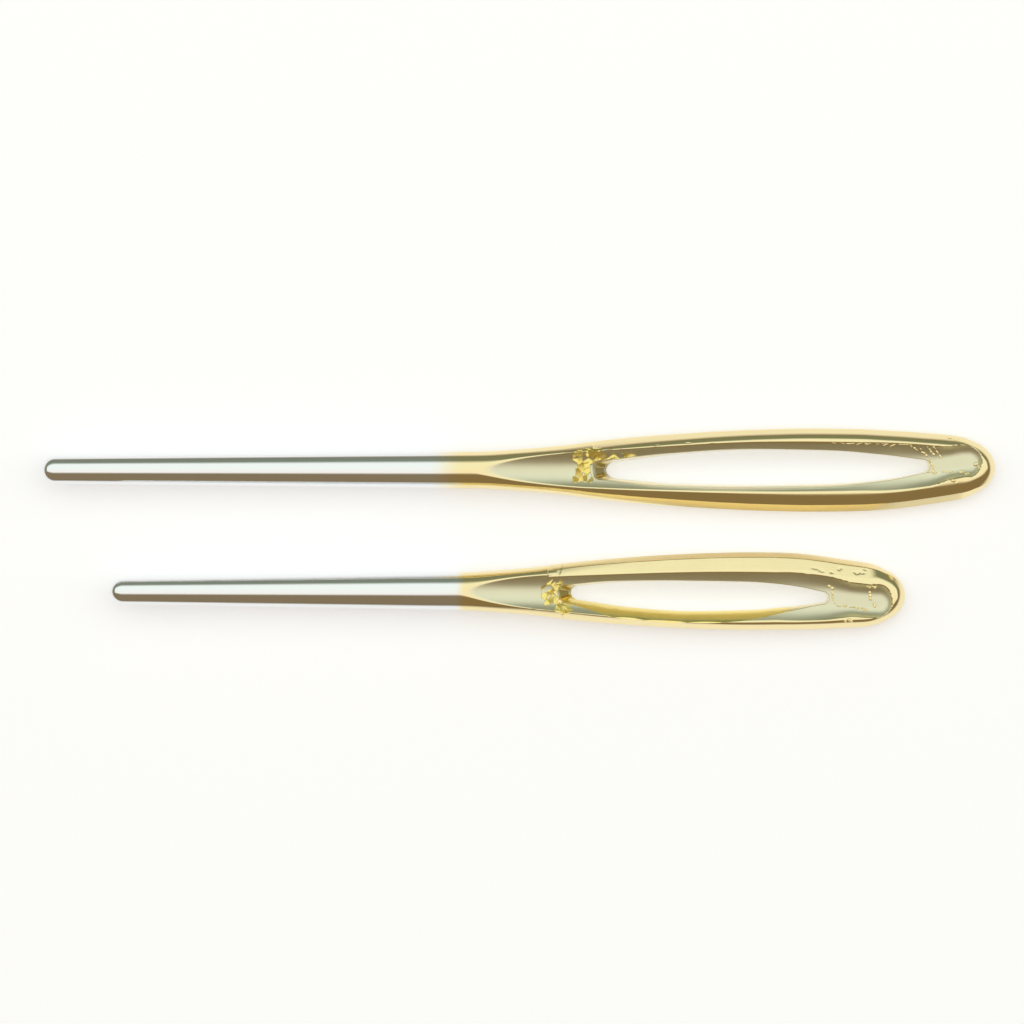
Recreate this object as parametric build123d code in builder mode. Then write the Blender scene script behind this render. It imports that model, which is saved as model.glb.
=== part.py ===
from build123d import *
import os
from math import atan, cos, radians, sin, sqrt
from typing import NamedTuple

os.makedirs("parts", exist_ok=True)

# Two blunt yarn needles with long eyes, lying side by side with their eyes to +X.
# Lengths are in millimetres, and a distance along a needle starts at its tip.

# Long needle
long_length = 70.0
long_eye_length = 37.8
long_tip_radius = 1.03
long_shoulder_radius = 1.38
long_eye_half_width = 3.06
long_hole_length = 23.6
long_hole_half_width = 1.25
long_head_web = 4.9
long_plated_length = 40.4

# Short needle
short_length = 58.4
short_eye_length = 32.3
short_tip_radius = 0.96
short_shoulder_radius = 1.42
short_eye_half_width = 2.86
short_hole_length = 18.8
short_hole_half_width = 1.03
short_head_web = 5.7
short_plated_length = 32.7

# Stretch of shank before the shoulder from which the eye's curves start
shank_lead = 3.0

# Places of the two needles on the table
needle_pitch = 8.9
short_tip_setback = 5.0

# Nose, eye and head of both needles
nose_length = 1.0
eye_half_thickness = 0.98
head_length = 2.6
head_half_width = 2.31
head_half_thickness = 0.95

# Trough stamped in each face of the eye, from the gutter to the pocket in the head
web_half_thickness = 0.45
gutter_radius = 2.5
trough_radius = 3.6
pocket_radius = 2.3
gutter_lead = 0.4
pocket_rim = 0.75
pocket_slope = 0.7
die_height = 1.9

# Punched hole, which flares towards the upper face
end_flare = 1.1
side_flare = 0.26
head_flare = 0.2
flare_height = 0.9
punch_half_height = 0.8

# Gold plate over the eye half
plate_thickness = 0.05

# Where the rim of the head rests on the table: its distance from the end and its height
head_rest = 3.6
rest_share = 0.985

# Half of the flat in a section, all but nothing where the shank is round
least_flat = 0.01

# Swell of the eye: shares of its length, of its widening and of its thinning
swell_shares = [
    (0.0, 0.0, 0.0),
    (0.08, 0.11, 0.08),
    (0.155, 0.25, 0.24),
    (0.235, 0.475, 0.5),
    (0.31, 0.64, 0.72),
    (0.39, 0.775, 0.87),
    (0.47, 0.885, 0.96),
    (0.55, 0.96, 1.0),
    (0.64, 1.0, 1.0),
    (0.73, 0.98, 1.0),
    (0.80, 0.895, 1.0),
    (0.855, 0.775, 1.0),
]

# Neck of the head: shares of its length and of its half width
neck_shares = [(1.13, 1.025), (0.8, 0.955)]

# Sections of a rounded end: angles in degrees on a quarter ellipse
round_angles = (62, 46, 30, 10)

# Side of the hole: shares of its straight length and of its half width
hole_side_shares = [(0.0, 0.48), (0.2, 0.84), (0.45, 1.0), (0.7, 0.93), (0.88, 0.68), (1.0, 0.36)]


class Needle(NamedTuple):
    """Sizes of one needle and the place of its tip."""

    length: float
    eye_length: float
    tip_radius: float
    shoulder_radius: float
    eye_half_width: float
    hole_length: float
    hole_half_width: float
    head_web: float
    plated_length: float
    tip_x: float
    axis_y: float


long_needle = Needle(
    length=long_length,
    eye_length=long_eye_length,
    tip_radius=long_tip_radius,
    shoulder_radius=long_shoulder_radius,
    eye_half_width=long_eye_half_width,
    hole_length=long_hole_length,
    hole_half_width=long_hole_half_width,
    head_web=long_head_web,
    plated_length=long_plated_length,
    tip_x=-long_length / 2,
    axis_y=(needle_pitch + short_eye_half_width - long_eye_half_width) / 2,
)

short_needle = Needle(
    length=short_length,
    eye_length=short_eye_length,
    tip_radius=short_tip_radius,
    shoulder_radius=short_shoulder_radius,
    eye_half_width=short_eye_half_width,
    hole_length=short_hole_length,
    hole_half_width=short_hole_half_width,
    head_web=short_head_web,
    plated_length=short_plated_length,
    tip_x=-long_length / 2 + short_tip_setback,
    axis_y=(short_eye_half_width - long_eye_half_width - needle_pitch) / 2,
)


def shoulder(needle):
    """Distance from the tip to where the round shank ends."""
    return needle.length - needle.eye_length


def tilt(needle):
    """Angle at which a needle lies on its shoulder and on the rim of its head."""
    drop = needle.shoulder_radius - rest_share * eye_half_thickness
    return atan(drop / (needle.eye_length - head_rest))


def along(needle):
    """Direction from the tip to the head."""
    return (cos(tilt(needle)), 0, -sin(tilt(needle)))


def upward(needle):
    """Direction square to the eye."""
    return (sin(tilt(needle)), 0, cos(tilt(needle)))


def on_axis(needle, distance):
    """Point on the axis at a distance from the tip."""
    rise = (shoulder(needle) - distance) * sin(tilt(needle))
    x = needle.tip_x + distance * cos(tilt(needle))
    return (x, needle.axis_y, needle.shoulder_radius + rise)


def across(needle, distance):
    """Plane across the needle, drawn in (sideways, up)."""
    return Plane(origin=on_axis(needle, distance), x_dir=(0, 1, 0), z_dir=along(needle))


def level(needle, height):
    """Plane parallel to the eye, drawn in (along, sideways) from the tip."""
    tip = on_axis(needle, 0)
    origin = tuple(t + height * u for t, u in zip(tip, upward(needle)))
    return Plane(origin=origin, x_dir=along(needle), z_dir=upward(needle))


def rounded_end(reach):
    """Distance from the end and share of the full section, from the widest to the end."""
    end = cos(radians(round_angles[-1]))
    return [(reach * (end - cos(radians(a))), sin(radians(a))) for a in round_angles]


def nose_sections(needle):
    """Distance, half width and half thickness of each section of the blunt nose."""
    rows = [(nose_length, needle.tip_radius, needle.tip_radius)]
    for distance, share in rounded_end(nose_length):
        rows.append((distance, needle.tip_radius * share, needle.tip_radius * share))
    return rows


def shank_section(needle, distance):
    """Section of the tapered shank at a distance from the tip."""
    share = (distance - nose_length) / (shoulder(needle) - nose_length)
    radius = needle.tip_radius + share * (needle.shoulder_radius - needle.tip_radius)
    return (distance, radius, radius)


def eye_sections(needle):
    """Distance, half width and half thickness of each section from shank to head."""
    lead = shoulder(needle) - shank_lead
    rows = [shank_section(needle, lead), shank_section(needle, lead + shank_lead / 2)]
    for along_share, wide_share, thin_share in swell_shares:
        distance = shoulder(needle) + along_share * needle.eye_length
        width = needle.shoulder_radius + wide_share * (needle.eye_half_width - needle.shoulder_radius)
        height = needle.shoulder_radius + thin_share * (eye_half_thickness - needle.shoulder_radius)
        rows.append((distance, width, height))
    for along_share, wide_share in neck_shares:
        distance = needle.length - along_share * head_length
        rows.append((distance, wide_share * head_half_width, head_half_thickness))
    for distance, share in rounded_end(head_length):
        width = share * head_half_width
        rows.append((needle.length - distance, width, share * head_half_thickness))
    return rows


def solid_body(needle, inset):
    """Outer form before the eye is stamped, drawn in by an inset."""
    eye = eye_sections(needle)
    shank = [shank_section(needle, nose_length), eye[0]]
    with BuildPart() as body:
        for sections, straight in [(nose_sections(needle), False), (shank, True), (eye, False)]:
            for distance, width, height in sections:
                with BuildSketch(across(needle, distance)):
                    SlotOverall(2 * (max(width, height + least_flat) - inset), 2 * (height - inset))
            loft(ruled=straight)
    return body.part


def trough_sections(needle):
    """Distance, floor height and radius of each section, from the gutter to the pocket."""
    hole_end = needle.length - needle.head_web
    hole_start = hole_end - needle.hole_length
    gutter_start = shoulder(needle) - gutter_lead
    gutter_end = hole_start - end_flare
    above = needle.shoulder_radius + plate_thickness
    floor = web_half_thickness
    pocket_start = needle.length - pocket_rim - 2 * pocket_slope
    return [
        (gutter_start, above, gutter_radius),
        ((gutter_start + gutter_end) / 2, (above + floor) / 2, gutter_radius),
        (gutter_end, floor, gutter_radius),
        (hole_start + needle.hole_length / 4, floor, (gutter_radius + trough_radius) / 2),
        (hole_start + needle.hole_length / 2, floor, trough_radius),
        (hole_start + needle.hole_length * 3 / 4, floor, trough_radius),
        (hole_end - pocket_slope, floor, (pocket_radius + trough_radius) / 2),
        (pocket_start, floor, pocket_radius),
    ]


def pocket_sections(needle):
    """The same, where the pocket's floor climbs to the rim of the head."""
    start = needle.length - pocket_rim - 2 * pocket_slope
    climb = head_half_thickness - web_half_thickness
    steps = [(0, 0), (1, 0), (2, 1), (3, 2)]
    return [
        (start + run * pocket_slope, web_half_thickness + rise * climb, pocket_radius)
        for run, rise in steps
    ]


def trough(needle, side, inset):
    """Boat-shaped cutter for the upper (1) or the lower (-1) face."""
    with BuildPart() as cutter:
        for sections in (trough_sections(needle), pocket_sections(needle)):
            for distance, floor, radius in sections:
                centre = floor + radius
                reach = sqrt((radius + inset) ** 2 - (centre - die_height) ** 2)
                with BuildSketch(across(needle, distance)):
                    with BuildLine():
                        rim_left = (-reach, side * die_height)
                        rim_right = (reach, side * die_height)
                        ThreePointArc(rim_left, (0, side * (floor - inset)), rim_right)
                        Line(rim_right, rim_left)
                    make_face()
            loft()
    return cutter.part


def hole_outline(needle, height, inset):
    """Outline of the hole at a height over the middle of the eye."""
    flare = (height + flare_height / 2) / flare_height
    end = needle.length - needle.head_web + head_flare * flare + inset
    start = needle.length - needle.head_web - needle.hole_length - end_flare * flare - inset
    half = needle.hole_half_width + side_flare * flare + inset
    first_round = half * hole_side_shares[0][1]
    last_round = half * hole_side_shares[-1][1]
    straight = end - last_round - start - first_round
    side = [(start + first_round + a * straight, b * half) for a, b in hole_side_shares]
    other = [(x, -y) for x, y in side]
    Spline(*side)
    ThreePointArc(side[-1], (end, 0), other[-1])
    Spline(*reversed(other))
    ThreePointArc(other[0], (start, 0), side[0])


def punch(needle, inset):
    """Cutter for the hole."""
    with BuildPart() as cutter:
        for height in (-punch_half_height, punch_half_height):
            with BuildSketch(level(needle, height)):
                with BuildLine():
                    hole_outline(needle, height, inset)
                make_face()
        loft(ruled=True)
    return cutter.part


def needle_form(needle, inset=0):
    """Whole needle with its stamped and punched eye, drawn in by an inset."""
    with BuildPart() as form:
        add(solid_body(needle, inset))
        add(trough(needle, 1, inset), mode=Mode.SUBTRACT)
        add(trough(needle, -1, inset), mode=Mode.SUBTRACT)
        add(punch(needle, inset), mode=Mode.SUBTRACT)
    return form.part


def plating_plane(needle):
    """Plane across the shank at which the gold ends."""
    return across(needle, needle.length - needle.plated_length)


def plated_pair(needle):
    """Steel blank and the gold plate that lies flush over its eye half."""
    edge = plating_plane(needle)
    outside = needle_form(needle)
    bare_half = split(outside, bisect_by=edge, keep=Keep.BOTTOM)
    eye_half = split(outside, bisect_by=edge, keep=Keep.TOP)
    core_half = split(needle_form(needle, plate_thickness), bisect_by=edge, keep=Keep.TOP)
    with BuildPart() as blank:
        add(bare_half)
        add(core_half, clean=False)
    with BuildPart() as gold_plate:
        add(eye_half)
        add(core_half, mode=Mode.SUBTRACT, clean=False)
    return blank.part, gold_plate.part


long_blank, long_gold_plate = plated_pair(long_needle)
short_blank, short_gold_plate = plated_pair(short_needle)

pieces = {
    "long_needle_blank": long_blank,
    "long_needle_gold_plate": long_gold_plate,
    "short_needle_blank": short_blank,
    "short_needle_gold_plate": short_gold_plate,
}

for name, piece in pieces.items():
    piece.label = name
    export_step(piece, f"parts/{name}.step")
    box = piece.bounding_box()
    print(name, "volume", round(piece.volume, 3), "lowest point", round(box.min.Z, 4))
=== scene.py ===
import math

import bmesh
import bpy
import numpy as np
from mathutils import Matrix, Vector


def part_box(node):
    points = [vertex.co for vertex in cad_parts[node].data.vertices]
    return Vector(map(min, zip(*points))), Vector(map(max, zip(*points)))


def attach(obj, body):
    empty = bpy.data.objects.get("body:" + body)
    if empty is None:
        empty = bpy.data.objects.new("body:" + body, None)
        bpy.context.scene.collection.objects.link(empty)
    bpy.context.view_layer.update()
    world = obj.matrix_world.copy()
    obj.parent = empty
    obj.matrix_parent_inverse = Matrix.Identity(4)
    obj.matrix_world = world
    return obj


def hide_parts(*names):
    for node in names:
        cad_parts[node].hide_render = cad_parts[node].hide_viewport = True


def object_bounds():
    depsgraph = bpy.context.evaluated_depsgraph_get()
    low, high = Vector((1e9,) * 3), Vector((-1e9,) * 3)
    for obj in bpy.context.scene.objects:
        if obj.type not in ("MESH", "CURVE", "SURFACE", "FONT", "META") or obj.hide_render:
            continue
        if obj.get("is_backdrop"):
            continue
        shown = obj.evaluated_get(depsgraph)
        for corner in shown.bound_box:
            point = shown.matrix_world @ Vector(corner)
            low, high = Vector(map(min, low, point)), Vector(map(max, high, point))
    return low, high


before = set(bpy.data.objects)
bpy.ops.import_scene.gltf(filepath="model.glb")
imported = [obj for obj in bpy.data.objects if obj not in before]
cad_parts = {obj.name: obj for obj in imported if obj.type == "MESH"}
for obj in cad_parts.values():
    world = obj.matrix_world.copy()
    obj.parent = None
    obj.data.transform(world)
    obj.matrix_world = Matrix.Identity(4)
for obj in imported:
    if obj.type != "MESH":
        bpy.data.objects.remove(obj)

bl_info = {
    "name": "Yarn Needle Pair",
    "version": (1, 0, 0),
    "blender": (4, 5, 0),
    "location": "View3D > Sidebar > Needles",
    "description": "Two blunt yarn needles with nickel-plated shanks and gold-plated eyes",
    "category": "Object",
}

MM = 0.001


# Settings that a user would change

def offset(name, description, millimetres, **limits):
    """Length property that may be negative, with its default in millimetres."""
    return bpy.props.FloatProperty(
        name=name, description=description, default=millimetres * MM, unit="LENGTH", precision=5, **limits
    )


def size(name, description, millimetres):
    """Length property with its default in millimetres."""
    return offset(name, description, millimetres, min=0.0)


def tint(name, description, colour):
    """Colour property."""
    return bpy.props.FloatVectorProperty(
        name=name, description=description, default=colour, min=0.0, max=1.0, subtype="COLOR"
    )


def amount(name, description, value):
    """Plain number property that isn't a length."""
    return bpy.props.FloatProperty(name=name, description=description, default=value, min=0.0)


# Sizes that each needle has: key, kind, name, description, long needle's value, short needle's value
NEEDLE_SIZES = [
    ("shoulder", size, "Shoulder", "Distance from the tip to where the round shank ends", 32.2, 26.1),
    ("tip_radius", size, "Tip radius", "Radius of the shank behind the nose", 1.03, 0.96),
    ("shoulder_radius", size, "Shoulder radius", "Radius of the shank where the eye begins", 1.38, 1.42),
    ("eye_half_width", size, "Eye half width", "Half of the widest eye", 3.06, 2.86),
    ("hole_length", size, "Hole length", "Length of the hole at its narrow face", 23.6, 18.8),
    ("hole_half_width", size, "Hole half width", "Half of the hole's width at its narrow face", 1.3, 1.1),
    ("far_flare", size, "Far flare", "Growth of the hole's far side towards the upper face", 0.03, 0.03),
    ("near_flare", size, "Near flare", "Growth of the hole's near side towards the upper face", 0.16, 0.36),
    ("far_slope", amount, "Far slope", "Steepness of the flank on the far side", 1.35, 0.42),
    ("near_slope", amount, "Near slope", "Steepness of the flank on the near side", 0.62, 1.6),
    ("far_parting", size, "Far parting", "Height of the steep parting edge on the far side", 0.08, 0.36),
    ("near_parting", size, "Near parting", "Height of the steep parting edge on the near side", 0.31, 0.2),
    ("far_edge", size, "Far edge", "Width of the steep parting edge on the far side", 0.06, 0.36),
    ("near_edge", size, "Near edge", "Width of the steep parting edge on the near side", 0.5, 0.06),
    ("far_round", size, "Far round", "Softness of the flank's upper edge on the far side", 0.45, 0.1),
    ("near_round", size, "Near round", "Softness of the flank's upper edge on the near side", 0.42, 0.25),
    ("head_web", size, "Head web", "Distance from the hole to the end of the head", 4.9, 5.7),
    ("die_line", size, "Die line", "Distance from the tip to the mark of the die's edge", 40.4, 32.1),
    ("start_drift", offset, "Start drift", "How far the hole's near end is off the middle", 0.0, -0.1),
    ("middle_drift", offset, "Middle drift", "How far the hole's middle is off the middle", 0.2, -0.36),
    ("end_drift", offset, "End drift", "How far the hole's far end is off the middle", 0.2, -0.34),
    ("pocket_drift", offset, "Pocket drift", "How far the pocket is off the middle", 0.53, -0.45),
    ("head_drift", offset, "Head drift", "How far the head is off the needle's axis", 0.18, -0.3),
    ("plating_fade", size, "Plating fade", "Softness of the line where the gold plate ends", 1.4, 0.4),
]


def needle_properties(column):
    """Properties of one needle, with their defaults from a column of the table."""
    return {key: kind(name, text, values[column]) for key, kind, name, text, *values in NEEDLE_SIZES}


class LongNeedleSizes(bpy.types.PropertyGroup):
    """Sizes of the long needle."""

    __annotations__ = needle_properties(0)


class ShortNeedleSizes(bpy.types.PropertyGroup):
    """Sizes of the short needle."""

    __annotations__ = needle_properties(1)


class StampSizes(bpy.types.PropertyGroup):
    """Sizes that the stamping dies and the plating give to both needles."""

    nose_length: size("Nose length", "Length of the rounded nose", 1.0)
    shank_lead: size("Shank lead", "Stretch before the shoulder where the eye's curves start", 3.0)
    eye_half_thickness: size("Eye half thickness", "Half of the eye's thickness", 0.98)
    parting_width: size("Parting width", "Width of the steep edge round the end of the head", 0.06)
    head_length: size("Head length", "Length of the rounded end of the head", 2.6)
    head_half_width: size("Head half width", "Half of the width of the head", 2.31)
    head_half_thickness: size("Head half thickness", "Half of the thickness of the head", 0.95)
    head_rest: size("Head rest", "Distance from the end to where the head rests on the table", 3.6)
    web_half_thickness: size("Web half thickness", "Half of the web between the troughs", 0.45)
    trough_dip: size("Trough dip", "Extra depth of the trough beside the hole", 0.1)
    gutter_radius: size("Gutter radius", "Radius across the gutter before the hole", 1.95)
    trough_radius: size("Trough radius", "Radius across the trough beside the hole", 3.1)
    pocket_radius: size("Pocket radius", "Radius of the pocket's walls", 1.05)
    pocket_floor: size("Pocket floor", "Half of the pocket's flat floor", 0.33)
    pocket_rim: size("Pocket rim", "Rim left between the pocket and the end of the head", 1.0)
    gutter_lead: size("Gutter lead", "Stretch of shank that the gutter reaches into", 0.4)
    end_flare: size("End flare", "Growth of the hole's near end towards the upper face", 1.1)
    head_flare: size("Head flare", "Growth of the hole's far end towards the upper face", 0.1)
    hole_round: size("Hole edge", "Radius of the rounded edge of the hole", 0.04)
    ridge_round: size("Ridge edge", "Softness of the ridge beside the trough", 0.09)
    plate_thickness: size("Plate thickness", "Thickness of the gold plate", 0.05)
    facet_size: size("Facet size", "Size of the facets where the punch tore the metal", 0.42)


class FinishSettings(bpy.types.PropertyGroup):
    """Colours of the two platings."""

    nickel: tint("Nickel", "Polished nickel plate", (0.88, 0.89, 0.9))
    gold: tint("Gold", "Polished gold plate", (0.93, 0.79, 0.45))
    # Stamped troughs: their duller finish, and painted shade of the recesses as a darker, greener gold
    stamped_gold_and_shade: tint("Stamped gold", "Duller gold in the stamped troughs", (0.80, 0.77, 0.56))
    # Deep gold of the torn facets and grains, also used as a painted reflection on one wall of the short
    # hole
    torn_gold_and_reflection: tint("Torn gold", "Deep gold on the broken edge of the hole", (1.0, 0.82, 0.26))


class StageSettings(bpy.types.PropertyGroup):
    """Floor, camera and studio light."""

    camera_height: size("Camera height", "Height of the camera over the needles", 420.0)
    lamp_height: size("Lamp height", "Height of the softbox over the floor", 600.0)
    lamp_level: amount("Lamp level", "Brightness of the softbox", 0.8)
    floor_glow: amount("Floor glow", "Light that the floor adds of its own, where 1 is white", 0.37)
    room_north: tint("Room, far side", "Dim room behind the long needle", (0.22, 0.25, 0.19))
    room_south: tint("Room, near side", "Dim room before the short needle", (0.25, 0.19, 0.11))
    floor: tint("Floor", "Pale floor", (0.9, 0.9, 0.95))


# Shape of a needle

# On from the shoulder: share of the eye's length, of its growth in width, of its loss in thickness
SWELL_SHARES = [
    (0.0, 0.0, 0.0),
    (0.08, 0.11, 0.08),
    (0.155, 0.25, 0.24),
    (0.235, 0.475, 0.5),
    (0.31, 0.64, 0.72),
    (0.39, 0.775, 0.87),
    (0.47, 0.885, 0.96),
    (0.55, 0.96, 1.0),
    (0.64, 1.0, 1.0),
    (0.73, 0.98, 1.0),
    (0.80, 0.895, 1.0),
    (0.855, 0.775, 1.0),
]
# Back from the end of the head: share of its rounded length, of its width, of its thickness
NECK_SHARES = [(1.13, 1.025, 1.0), (0.8, 0.955, 0.99), (0.5, 0.9, 0.97), (0.2, 0.9, 0.965)]
# Along the sides of the hole: share of their length, share of the hole's half width
HOLE_SIDE_SHARES = [(0.0, 0.48), (0.2, 0.84), (0.45, 1.0), (0.7, 0.93), (0.88, 0.68), (1.0, 0.36)]
# Share of the eye's half thickness where the head rests on the table
REST_SHARE = 0.985
# Share of their height that the faces keep, so that they stay inside the box of the CAD model
FACE_SHARE = 0.998
# Distances before the hole's end and before the needle's end between which the head bends off the axis
BEND_FROM, BEND_TO = 4 * MM, 1 * MM
# Stretch of gold plate before the gutter starts to leave the middle
DRIFT_LEAD = 1 * MM
# Distances before the needle's end between which the seam comes back to the middle
SEAM_FROM, SEAM_TO = 1.5 * MM, 0.1 * MM
# Half of the strip along the middle where the forms of the near and the far side blend
SIDE_BLEND = 0.4 * MM
# Parting height, slope and softness of the flank round the end of the head
HEAD_FLANK = (0.1 * MM, 1.35, 0.42 * MM)
# Share of the eye's length over which the flank's draft comes in, and share of the rest that the die adds
DRAFT_SHARE, DIE_SHARE = 0.42, 0.5
# Length of the step at the die line, and width of the tiny round along the outline
DIE_STEP, OUTLINE_ROUND = 0.12 * MM, 0.004 * MM
# Share of the hole's length where the trough starts to close, and of the web where the pocket is full
TROUGH_CLOSE, POCKET_FULL = 0.8, 0.3
# Length of the pocket's rounded end as a share of its half width
POCKET_ROUNDNESS = 0.75
# Least share of a trough's squared radius that its wall keeps
TROUGH_WALL = 0.04
# Depth under the outer form at which a stamped face has its full roughness and its full painted shade
STAMPED_DEPTH = 0.12 * MM
# Torn facets: stray in shares of their size, tilt, lean on the far side, lift in millimetres and stretch
FACET_JITTER, FACET_TILT, FACET_LEAN = 0.45, 0.42, 0.3
FACET_LIFTS = (-0.07, 0.09)
FACET_STRETCH = 0.75
# How far torn metal may stand over the outer form
TORN_RISE = 0.02 * MM
# Least divisors, so that nothing is divided by 0 at the needle's ends
LEAST_SHARE, LEAST_LENGTH = 1e-6, 1e-9


def smooth_through(points, at):
    """Smooth curve through points that doesn't overshoot them, held level beyond its ends."""
    place, value = np.array(points, float).T
    step = np.diff(place)
    slope = np.diff(value) / step
    same_way = slope[:-1] * slope[1:] > 0
    total = np.where(same_way, slope[:-1] + slope[1:], 1.0)
    inner = np.where(same_way, 2 * slope[:-1] * slope[1:] / total, 0.0)
    tangent = np.concatenate([slope[:1], inner, slope[-1:]])
    i = np.clip(np.searchsorted(place, at) - 1, 0, len(step) - 1)
    t = np.clip((at - place[i]) / step[i], 0, 1)
    near = (1 + 2 * t) * value[i] + t * step[i] * tangent[i]
    far = (3 - 2 * t) * value[i + 1] - (1 - t) * step[i] * tangent[i + 1]
    return (1 - t) ** 2 * near + t**2 * far


def soft_step(low, high, at):
    """0 before low, 1 after high and smooth between them."""
    t = np.clip((at - low) / (high - low), 0, 1)
    return t * t * (3 - 2 * t)


def soft_min(a, b, softness):
    """The lower of two heights, with their crease rounded."""
    h = np.clip(0.5 + 0.5 * (b - a) / softness, 0, 1)
    return b + (a - b) * h - softness * h * (1 - h)


def rounded_rise(distance, width):
    """Quarter round from 0 at no distance to 1 at a width."""
    return np.sqrt(np.clip(1 - (1 - np.clip(distance / width, 0, 1)) ** 2, 0, 1))


class NeedleForm:
    """Surfaces of one needle, as heights over the middle plane of its eye."""

    def __init__(self, body, sizes, stamp, inset=0.0):
        blank_low, blank_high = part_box(f"{body}_blank")
        plate_low, plate_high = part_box(f"{body}_gold_plate")
        self.sizes, self.stamp, self.inset = sizes, stamp, inset
        self.tip_x = blank_low.x
        self.axis_y = (blank_low.y + blank_high.y) / 2
        self.full_length = plate_high.x - blank_low.x
        self.length = self.full_length - inset
        self.eye_length = self.full_length - sizes.shoulder
        drop = sizes.shoulder_radius - REST_SHARE * stamp.eye_half_thickness
        self.tilt = math.atan(drop / (self.eye_length - stamp.head_rest))
        self.plating = plate_low.x - blank_low.x + sizes.shoulder_radius * math.sin(self.tilt)
        self.hole_end = self.full_length - sizes.head_web
        self.hole_start = self.hole_end - sizes.hole_length
        self.facets = None
        self.pits = []
        self.painted_reflection_wall = []

    def world(self, s, y, z):
        """Place in the frame of points given along, across and square to the eye."""
        lean, rise = math.sin(self.tilt), math.cos(self.tilt)
        x = self.tip_x + s * rise + z * lean
        height = self.sizes.shoulder_radius + (self.sizes.shoulder - s) * lean + z * rise
        bend = self.sizes.head_drift * soft_step(self.hole_end - BEND_FROM, self.full_length - BEND_TO, s)
        return np.stack([x, self.axis_y + bend + y + 0 * x, height], axis=-1)

    def drift(self, s):
        """How far the hole and the troughs are off the needle's middle."""
        sizes = self.sizes
        places = [
            (self.plating + DRIFT_LEAD, 0.0),
            (self.hole_start, sizes.start_drift),
            (self.hole_start + sizes.hole_length / 2, sizes.middle_drift),
            (self.hole_end, sizes.end_drift),
            (self.hole_end + sizes.head_web / 2, sizes.pocket_drift),
        ]
        return smooth_through(places, s)

    def seam(self, s):
        """Line between the two halves of a face where there is no hole."""
        return self.drift(s) * (1 - soft_step(self.length - SEAM_FROM, self.length - SEAM_TO, s))

    def round_head(self, s):
        """How far a place is round the end of the head, from 0 to 1."""
        return np.clip((s - self.length) / self.stamp.head_length + 1, 0, 1)

    def ends(self, s):
        """Shares of the full width that the rounded nose and the rounded head leave."""
        nose = np.clip(1 - s / self.stamp.nose_length, 0, 1)
        head = self.round_head(s)
        return np.sqrt(np.clip(1 - nose**2, 0, 1)), np.sqrt(np.clip(1 - head**2, 0, 1))

    def section(self, s):
        """Half width and half thickness of the outer form."""
        sizes, stamp = self.sizes, self.stamp
        taper = (sizes.shoulder_radius - sizes.tip_radius) / (sizes.shoulder - stamp.nose_length)
        radius = sizes.tip_radius + taper * (s - stamp.nose_length)
        lead = sizes.shoulder - stamp.shank_lead
        growth = sizes.eye_half_width - sizes.shoulder_radius
        loss = stamp.eye_half_thickness - sizes.shoulder_radius
        wide = [(lead, sizes.shoulder_radius - taper * stamp.shank_lead)]
        thin = list(wide)
        for along, width, thinning in SWELL_SHARES:
            place = sizes.shoulder + along * self.eye_length
            wide.append((place, sizes.shoulder_radius + width * growth))
            thin.append((place, sizes.shoulder_radius + thinning * loss))
        for along, width, thickness in NECK_SHARES:
            place = self.full_length - along * stamp.head_length
            wide.append((place, width * stamp.head_half_width))
            thin.append((place, thickness * stamp.head_half_thickness))
        on_shank = s < lead
        width = np.where(on_shank, radius, smooth_through(wide, s)) - self.inset
        height = np.where(on_shank, radius, smooth_through(thin, s)) - self.inset
        nose, head = self.ends(s)
        return width * nose * head, FACE_SHARE * height * nose

    def depth(self, s, y):
        """Distance in from the outline, also round the end of the head."""
        width, _ = self.section(s)
        _, head = self.ends(s)
        full = width / np.maximum(head, LEAST_SHARE)
        onward = self.round_head(s)
        out = np.hypot(onward, np.abs(y) / np.maximum(full, LEAST_LENGTH))
        gain = np.hypot(onward / self.stamp.head_length, np.abs(y) / np.maximum(full, LEAST_LENGTH) ** 2)
        inside = np.maximum(1 - out, 0) * out / np.maximum(gain, LEAST_LENGTH)
        return np.where(onward > 0, inside, np.maximum(width - np.abs(y), 0))

    def by_side(self, name, far):
        """Size that the near and the far side have of their own, where far runs from 0 to 1."""
        near_value, far_value = getattr(self.sizes, f"near_{name}"), getattr(self.sizes, f"far_{name}")
        return near_value + far * (far_value - near_value)

    def flank(self, s, y):
        """Height of the outer form, round on the shank and drafted along the eye."""
        sizes, stamp = self.sizes, self.stamp
        _, height = self.section(s)
        depth = self.depth(s, y)
        rounded = height * rounded_rise(depth, np.maximum(height, LEAST_LENGTH))
        far = soft_step(-SIDE_BLEND, SIDE_BLEND, y)
        around = self.round_head(s)
        sides = (self.by_side(name, far) for name in ("parting", "slope", "round"))
        parting, slope, softness = (side + around * (head - side) for side, head in zip(sides, HEAD_FLANK))
        edge = self.by_side("edge", far)
        edge = edge + around * (stamp.parting_width - edge)
        rise = parting * np.clip(depth / edge, 0, 1) + slope * depth
        drafted = np.maximum(soft_min(rise, height, softness), 0)
        drafted = np.where(depth > 0, drafted, 0) * rounded_rise(depth, OUTLINE_ROUND)
        draft = soft_step(sizes.shoulder, sizes.shoulder + DRAFT_SHARE * self.eye_length, s)
        past_die = DIE_SHARE * soft_step(sizes.die_line, sizes.die_line + DIE_STEP, s) * far
        draft = draft + (1 - draft) * past_die
        return rounded + draft * (drafted - rounded)

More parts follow.
